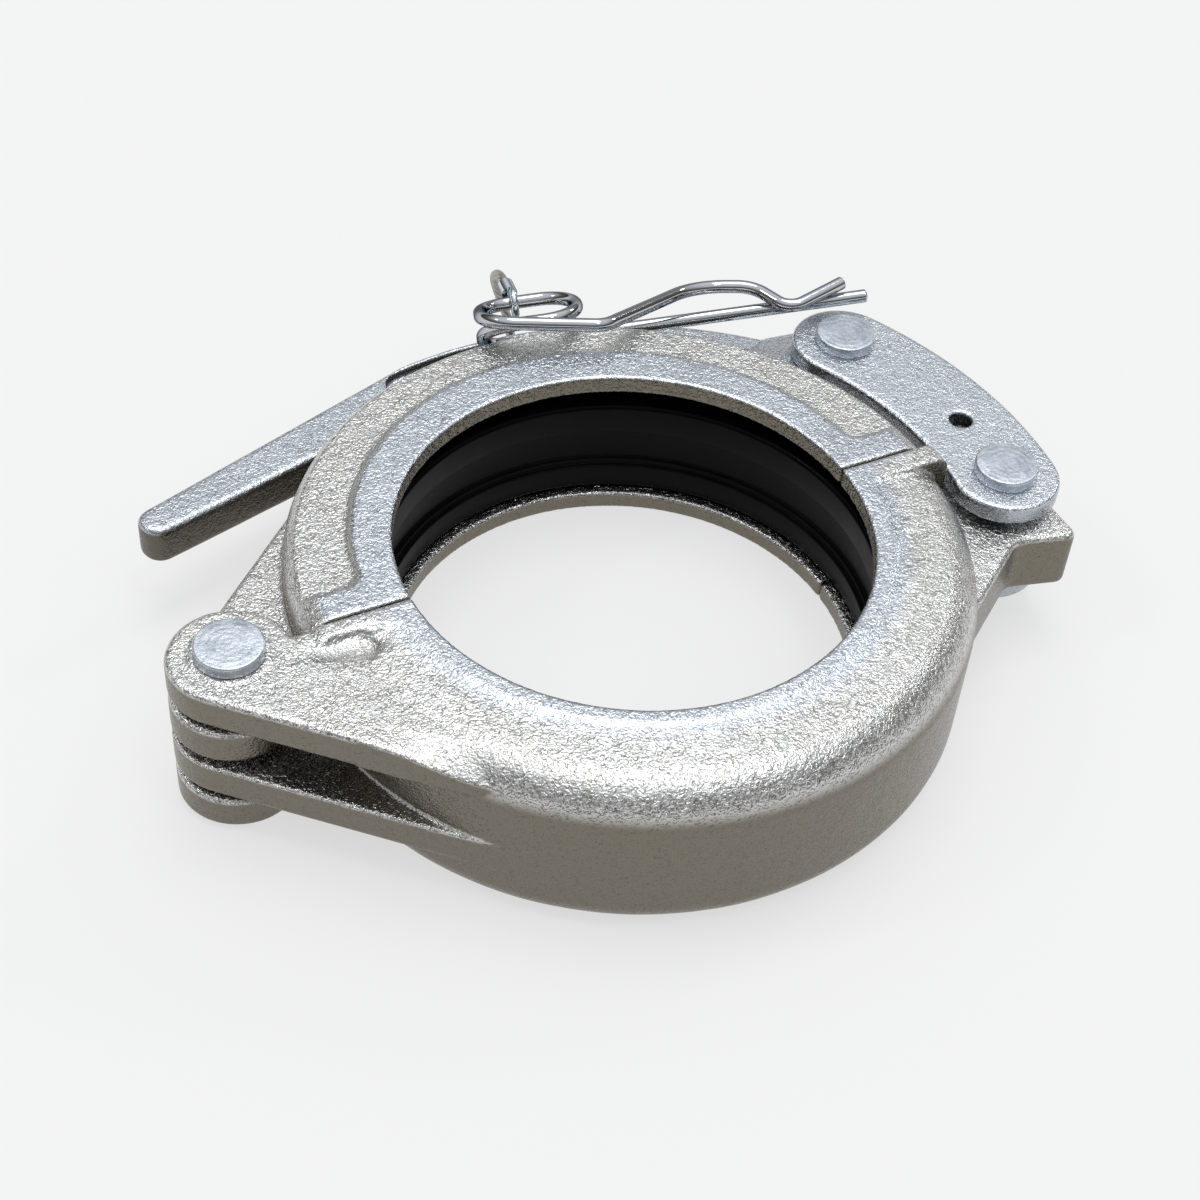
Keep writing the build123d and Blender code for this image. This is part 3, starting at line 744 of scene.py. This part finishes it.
class CLAMP_OT_link(bpy.types.Operator):
    """Plates and pins of the toggle link, and the hinge pin."""

    bl_idname = "clamp.link"
    bl_label = "Link and pins"

    def execute(self, context):
        look = context.scene.clamp_look
        plate_skin = zinc_on_forging(
            "zinc_plated_pressed_plate", look.plate_colour, look.plate_wall_shade, look.plate_colour, *PLATE_SKIN)
        for node in ("upper_link_plate", "lower_link_plate"):
            piece = softened(
                node, node + "_pressing", look.plate_mesh, PLATE_STEPS, PLATE_WAVES, PLATE_WAVE_DEPTH, 2)
            dress(piece, plate_skin, "link", [node])
        for node, body in (("ear_pin", "link"), ("lever_pin", "link"), ("hinge_pin", "root")):
            middle = centre_of(node)
            piece = lathe(node + "_turned", self.pin_profile(node), (middle.x, middle.y, 0.0))
            skin = turned_zinc(node + "_turned_zinc", look.pin_colour, middle)
            dress(piece, skin, body, [node])
        return {"FINISHED"}

    def pin_profile(self, node):
        """Half section of a pin, mm: crown, rounded rim and shank, then the same head or a riveted tail."""
        low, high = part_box(node)
        head = (high[0] - low[0]) / 2 / MM
        top, bottom = high[2] / MM, low[2] / MM
        shank = PIN_D / 2 - PIN_PLAY
        crown = [(head * share, top - fall) for share, fall in CROWN]
        edge = arc(head - HEAD_EDGE_R, top - (RIM_FALL + HEAD_EDGE_R), HEAD_EDGE_R, 90, 0)
        under = arc(head - HEAD_UNDER_R, top - HEAD_T + HEAD_UNDER_R, HEAD_UNDER_R, 0, -90, 4)
        profile = crown + edge + under + [(shank, top - HEAD_T)]
        if node == "hinge_pin":
            rim = [(head - inward, bottom + up) for inward, up in TAIL_EDGE]
            return profile + [(shank, bottom + TAIL_H), *rim, (0, bottom)]
        return profile + [(r, bottom + top - z) for r, z in reversed(profile)]


class CLAMP_OT_gasket(bpy.types.Operator):
    """Rubber gasket: its section, with every corner an arc, turned about the bore's axis."""

    bl_idname = "clamp.gasket"
    bl_label = "Gasket"

    def execute(self, context):
        look = context.scene.clamp_look
        (_, _, low), (outer, _, high) = (np.array(c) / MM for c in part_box("gasket"))
        inner, low, high = outer - GASKET_T, low + GASKET_SKIN, high - GASKET_SKIN
        outer -= GASKET_SKIN
        bottom, top = low + GASKET_LOW, low + GASKET_LOW + GASKET_GROOVE_W
        floor, mid = inner + GASKET_GROOVE_D, inner + GASKET_GROOVE_D / 2
        cut, soft = GASKET_LIP_W, GASKET_EDGE_R
        profile = [
            *arc(outer - soft, low + soft, soft, -90, 0, 4),
            *arc(outer - soft, high - soft, soft, 0, 90, 4),
            *arc(inner + cut, high - cut, cut, 90, 180, 8),
            *arc(inner + soft, top + cut + soft, soft, 180, 270, 5),
            *arc(mid - soft, top + cut - soft, soft, 90, 0, 5),
            *arc(mid + soft, top + soft, soft, 180, 270, 5),
            *arc(floor - soft, top - soft, soft, 90, 0, 5),
            *arc(floor - soft, bottom + soft, soft, 0, -90, 5),
            *arc(mid + soft, bottom - soft, soft, 90, 180, 5),
            *arc(mid - soft, bottom - cut + soft, soft, 0, -90, 5),
            *arc(inner + soft, bottom - cut - soft, soft, 90, 180, 5),
            *arc(inner + cut, low + cut, cut, 180, 270, 8)]
        piece = lathe("gasket_moulding", profile, (0.0, 0.0, 0.0), GASKET_SIDES)
        rubber = moulded_rubber("moulded_nitrile_rubber", look.rubber_colour)
        dress(piece, rubber, "root", ["gasket"])
        return {"FINISHED"}


def leg_frame():
    """Turn and place of the straight leg's frame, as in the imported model."""
    turn = Euler((0.0, 0.0, math.radians(LEG_TURN))).to_matrix()
    rise = Euler((0.0, -math.radians(LEG_PITCH), 0.0)).to_matrix()
    return turn @ rise, Vector(LEG_START) * MM


def in_leg_frame(point):
    """A point given in the straight leg's frame, mm, as a point of the model, metres."""
    turn, place = leg_frame()
    return turn @ (Vector(point) * MM) + place


def coil_corner(quarter):
    """Corner of the square that the coil rounds off, mm, in the leg's frame."""
    side = 1 if quarter % 4 in (2, 3) else -1
    return side * COIL_R, *COIL_PASSES[(quarter + 1) // 2]


class CLAMP_OT_clip(bpy.types.Operator):
    """Spring wire safety clip: a round wire carried along the leg, the coil and the waves."""

    bl_idname = "clamp.clip"
    bl_label = "Safety clip"

    def execute(self, context):
        look = context.scene.clamp_look
        corners = [(LEG_LENGTH, 0.0, 0.0), *[coil_corner(n) for n in range(COIL_CORNERS)], *WAVE]
        radii = [r * MM for r in (*[COIL_BEND] * COIL_CORNERS, *WAVE_RADII)]
        step = WIRE_STEP * MM
        path = spread(rounded([in_leg_frame(c) for c in corners], radii, step), step)
        path, radius = capped(path, WIRE_D / 2 * MM, WIRE_CAP * MM)
        section = np.repeat(radius[:, None], WIRE_SIDES, axis=1)
        piece = carried("safety_clip_wire", path, section)
        skin = bright_zinc("bright_zinc_spring_wire", look.wire_colour)
        dress(piece, skin, "clip", ["safety_clip"])
        return {"FINISHED"}


def strand_radius(way):
    """Radius of a laid rope by angle and way along: strands round it, turning once in each lay length.

    Between its groove and its crest a strand follows a power of a cosine of the angle.
    """
    angle = np.linspace(0, 2 * np.pi, ROPE_SIDES, endpoint=False)[None, :]
    turned = angle + 2 * np.pi * way[:, None] / (ROPE_LAY * MM)
    relief = np.abs(np.cos(ROPE_STRANDS / 2 * turned)) ** 0.6
    return ROPE_D / 2 * MM * (1 - ROPE_GROOVE + ROPE_GROOVE * relief)


def smooth_line(points):
    """The path, metres, of a NURBS spline of order 3 that has the points as its control points."""
    curve = bpy.data.curves.new("rope_line", "CURVE")
    curve.dimensions = "3D"
    spline = curve.splines.new("NURBS")
    spline.points.add(len(points) - 1)
    for point, place in zip(spline.points, points):
        point.co = (*place, 1.0)
    spline.order_u = 3
    spline.use_endpoint_u = True
    spline.resolution_u = 24
    guide = bpy.data.objects.new("rope_line", curve)
    bpy.context.scene.collection.objects.link(guide)
    bpy.context.view_layer.update()
    line = bpy.data.meshes.new_from_object(guide.evaluated_get(bpy.context.evaluated_depsgraph_get()))
    bpy.data.objects.remove(guide)
    return np.array([v.co for v in line.vertices])


class CLAMP_OT_lanyard(bpy.types.Operator):
    """Wire rope from the sleeve on the clip's loop, behind and under the lever, to its stud."""

    bl_idname = "clamp.lanyard"
    bl_label = "Lanyard"

    def execute(self, context):
        look = context.scene.clamp_look
        strand = drawn_strand("laid_steel_wire_rope", look.rope_colour)
        sleeve_low, sleeve_high = (np.array(c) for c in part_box("lanyard_sleeve"))
        stud = centre_of("lanyard_stud")
        stud_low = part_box("lanyard_stud")[0][2]
        loop = centre_of("lanyard_loop")
        sleeve = Vector((sleeve_low + sleeve_high) / 2)
        away = sleeve - loop
        away.z = 0.0
        away.normalize()
        start = sleeve + away * (SLEEVE_L / 2) * MM
        end = Vector((stud.x, stud.y, stud_low))
        points = [start, start + away * ROPE_LEAD * MM, *[Vector(p) * MM for p in ROPE_ROUTE],
                  end - Vector((0, 0, STUD_LEAD * MM)), end]
        path = spread(smooth_line(points), ROPE_STEP * MM)
        way = np.linspace(0, np.linalg.norm(np.diff(path, axis=0), axis=1).sum(), len(path))
        rope = carried("lanyard_rope_strands", path, strand_radius(way))
        dress(rope, strand, None, ["lanyard_rope"])
        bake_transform(rope)
        fitting = bright_zinc("bright_zinc_lanyard_fittings", look.pin_colour)
        for node in ("lanyard_loop", "lanyard_sleeve"):
            dress(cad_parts[node], fitting)
        stud_skin = turned_zinc("stud_turned_zinc", look.pin_colour, stud)
        dress(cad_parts["lanyard_stud"], stud_skin)
        return {"FINISHED"}


def soft_sun(name, towards, power, angle, tint):
    """A far, even lamp in a direction, as wide as angle degrees."""
    lamp = bpy.data.lights.new(name, "SUN")
    lamp.energy = power
    lamp.angle = math.radians(angle)
    lamp.color = tint
    item = bpy.data.objects.new(name, lamp)
    item.rotation_euler = Vector(towards).to_track_quat("Z", "Y").to_euler()
    bpy.context.scene.collection.objects.link(item)


class CLAMP_OT_stage(bpy.types.Operator):
    """Pale floor, soft light and the photograph's camera."""

    bl_idname = "clamp.stage"
    bl_label = "Stage"

    def execute(self, context):
        look = context.scene.clamp_look
        low = CAD_BOX[0][2]
        half = FLOOR_HALF
        corners = [(-half, -half, low), (half, -half, low), (half, half, low), (-half, half, low)]
        floor = mesh_object("floor", corners, [(0, 1, 2, 3)], False)
        material, tree, shader, _ = new_material("pale_matt_floor")
        shader.inputs["Base Color"].default_value = look.floor_colour
        shader.inputs["Roughness"].default_value = 0.9
        shader.inputs["Specular IOR Level"].default_value = 0.0
        self.lift_floor(tree, shader, look.floor_colour)
        floor.data.materials.append(material)
        self.light_world(context)
        for lamp in LAMPS:
            soft_sun(*lamp)
        self.set_camera(context)
        context.scene.view_settings.view_transform = "Standard"
        return {"FINISHED"}

    def set_camera(self, context):
        """The photograph's camera, solved from the ellipses of the bore and the wall."""
        camera = bpy.data.cameras.new("camera")
        camera.sensor_width = 36.0
        camera.sensor_fit = "HORIZONTAL"
        camera.lens = CAMERA_LENS
        camera.clip_start = 0.01
        item = bpy.data.objects.new("camera", camera)
        item.location = Vector(CAMERA_AT) * MM
        heading = Euler((0, 0, math.radians(CAMERA_HEADING))).to_matrix()
        tilt = Euler([math.radians(a) for a in CAMERA_TURN]).to_matrix()
        item.rotation_euler = (heading @ tilt).to_euler()
        context.scene.collection.objects.link(item)
        context.scene.camera = item

    def lift_floor(self, tree, shader, pale):
        """Where rays from the eye, metal or glass meet the floor, a share of it is its plain colour."""
        ray = put(tree, "ShaderNodeLightPath").outputs
        met = combined(tree, "MAXIMUM", ray["Is Camera Ray"], ray["Is Glossy Ray"])
        met = combined(tree, "MAXIMUM", met, ray["Is Transmission Ray"])
        glow = put(tree, "ShaderNodeEmission", {"Color": pale, "Strength": 1.0})
        mix = put(tree, "ShaderNodeMixShader", {0: combined(tree, "MULTIPLY", met, FLOOR_LIFT)})
        tree.links.new(shader.outputs["BSDF"], mix.inputs[1])
        tree.links.new(glow.outputs[0], mix.inputs[2])
        output = next(node for node in tree.nodes if node.type == "OUTPUT_MATERIAL")
        tree.links.new(mix.outputs[0], output.inputs["Surface"])

    def light_world(self, context):
        """Studio dome: pale wall near the floor, dark band above it, then brighter up to the zenith."""
        world = bpy.data.worlds.new("studio")
        world.use_nodes = True
        tree = world.node_tree
        tree.nodes.clear()
        direction = put(tree, "ShaderNodeTexCoord").outputs["Generated"]
        height = put(tree, "ShaderNodeSeparateXYZ", {"Vector": direction}).outputs["Z"]
        ramp = put(tree, "ShaderNodeValToRGB", {"Fac": height})
        while len(ramp.color_ramp.elements) < len(DOME):
            ramp.color_ramp.elements.new(1.0)
        for element, (at, code) in zip(ramp.color_ramp.elements, DOME):
            element.position = at
            element.color = linear(code)
        back = put(tree, "ShaderNodeBackground", {"Color": ramp.outputs["Color"], "Strength": 1.0})
        put(tree, "ShaderNodeOutputWorld", {"Surface": back.outputs[0]})
        context.scene.world = world


class CLAMP_PT_sidebar(bpy.types.Panel):
    """Buttons for the clamp's pieces and its stage."""

    bl_idname = "CLAMP_PT_sidebar"
    bl_label = "Clamp"
    bl_space_type = "VIEW_3D"
    bl_region_type = "UI"
    bl_category = "Clamp"

    def draw(self, context):
        for name in ClampLook.__annotations__:
            self.layout.prop(context.scene.clamp_look, name)
        for step in STEPS:
            self.layout.operator(step.bl_idname)


STEPS = (
    CLAMP_OT_stage, CLAMP_OT_lanyard, CLAMP_OT_halves, CLAMP_OT_lever, CLAMP_OT_link, CLAMP_OT_gasket,
    CLAMP_OT_clip)


def register():
    """Adds the classes and the scene's settings."""
    for item in (ClampLook, *STEPS, CLAMP_PT_sidebar):
        bpy.utils.register_class(item)
    bpy.types.Scene.clamp_look = PointerProperty(type=ClampLook)


def unregister():
    """Takes them out again."""
    del bpy.types.Scene.clamp_look
    for item in (CLAMP_PT_sidebar, *reversed(STEPS), ClampLook):
        bpy.utils.unregister_class(item)


def main():
    """Builds the stage and every piece."""
    register()
    for step in STEPS:
        group, name = step.bl_idname.split(".")
        getattr(getattr(bpy.ops, group), name)()


if __name__ == "__main__":
    main()
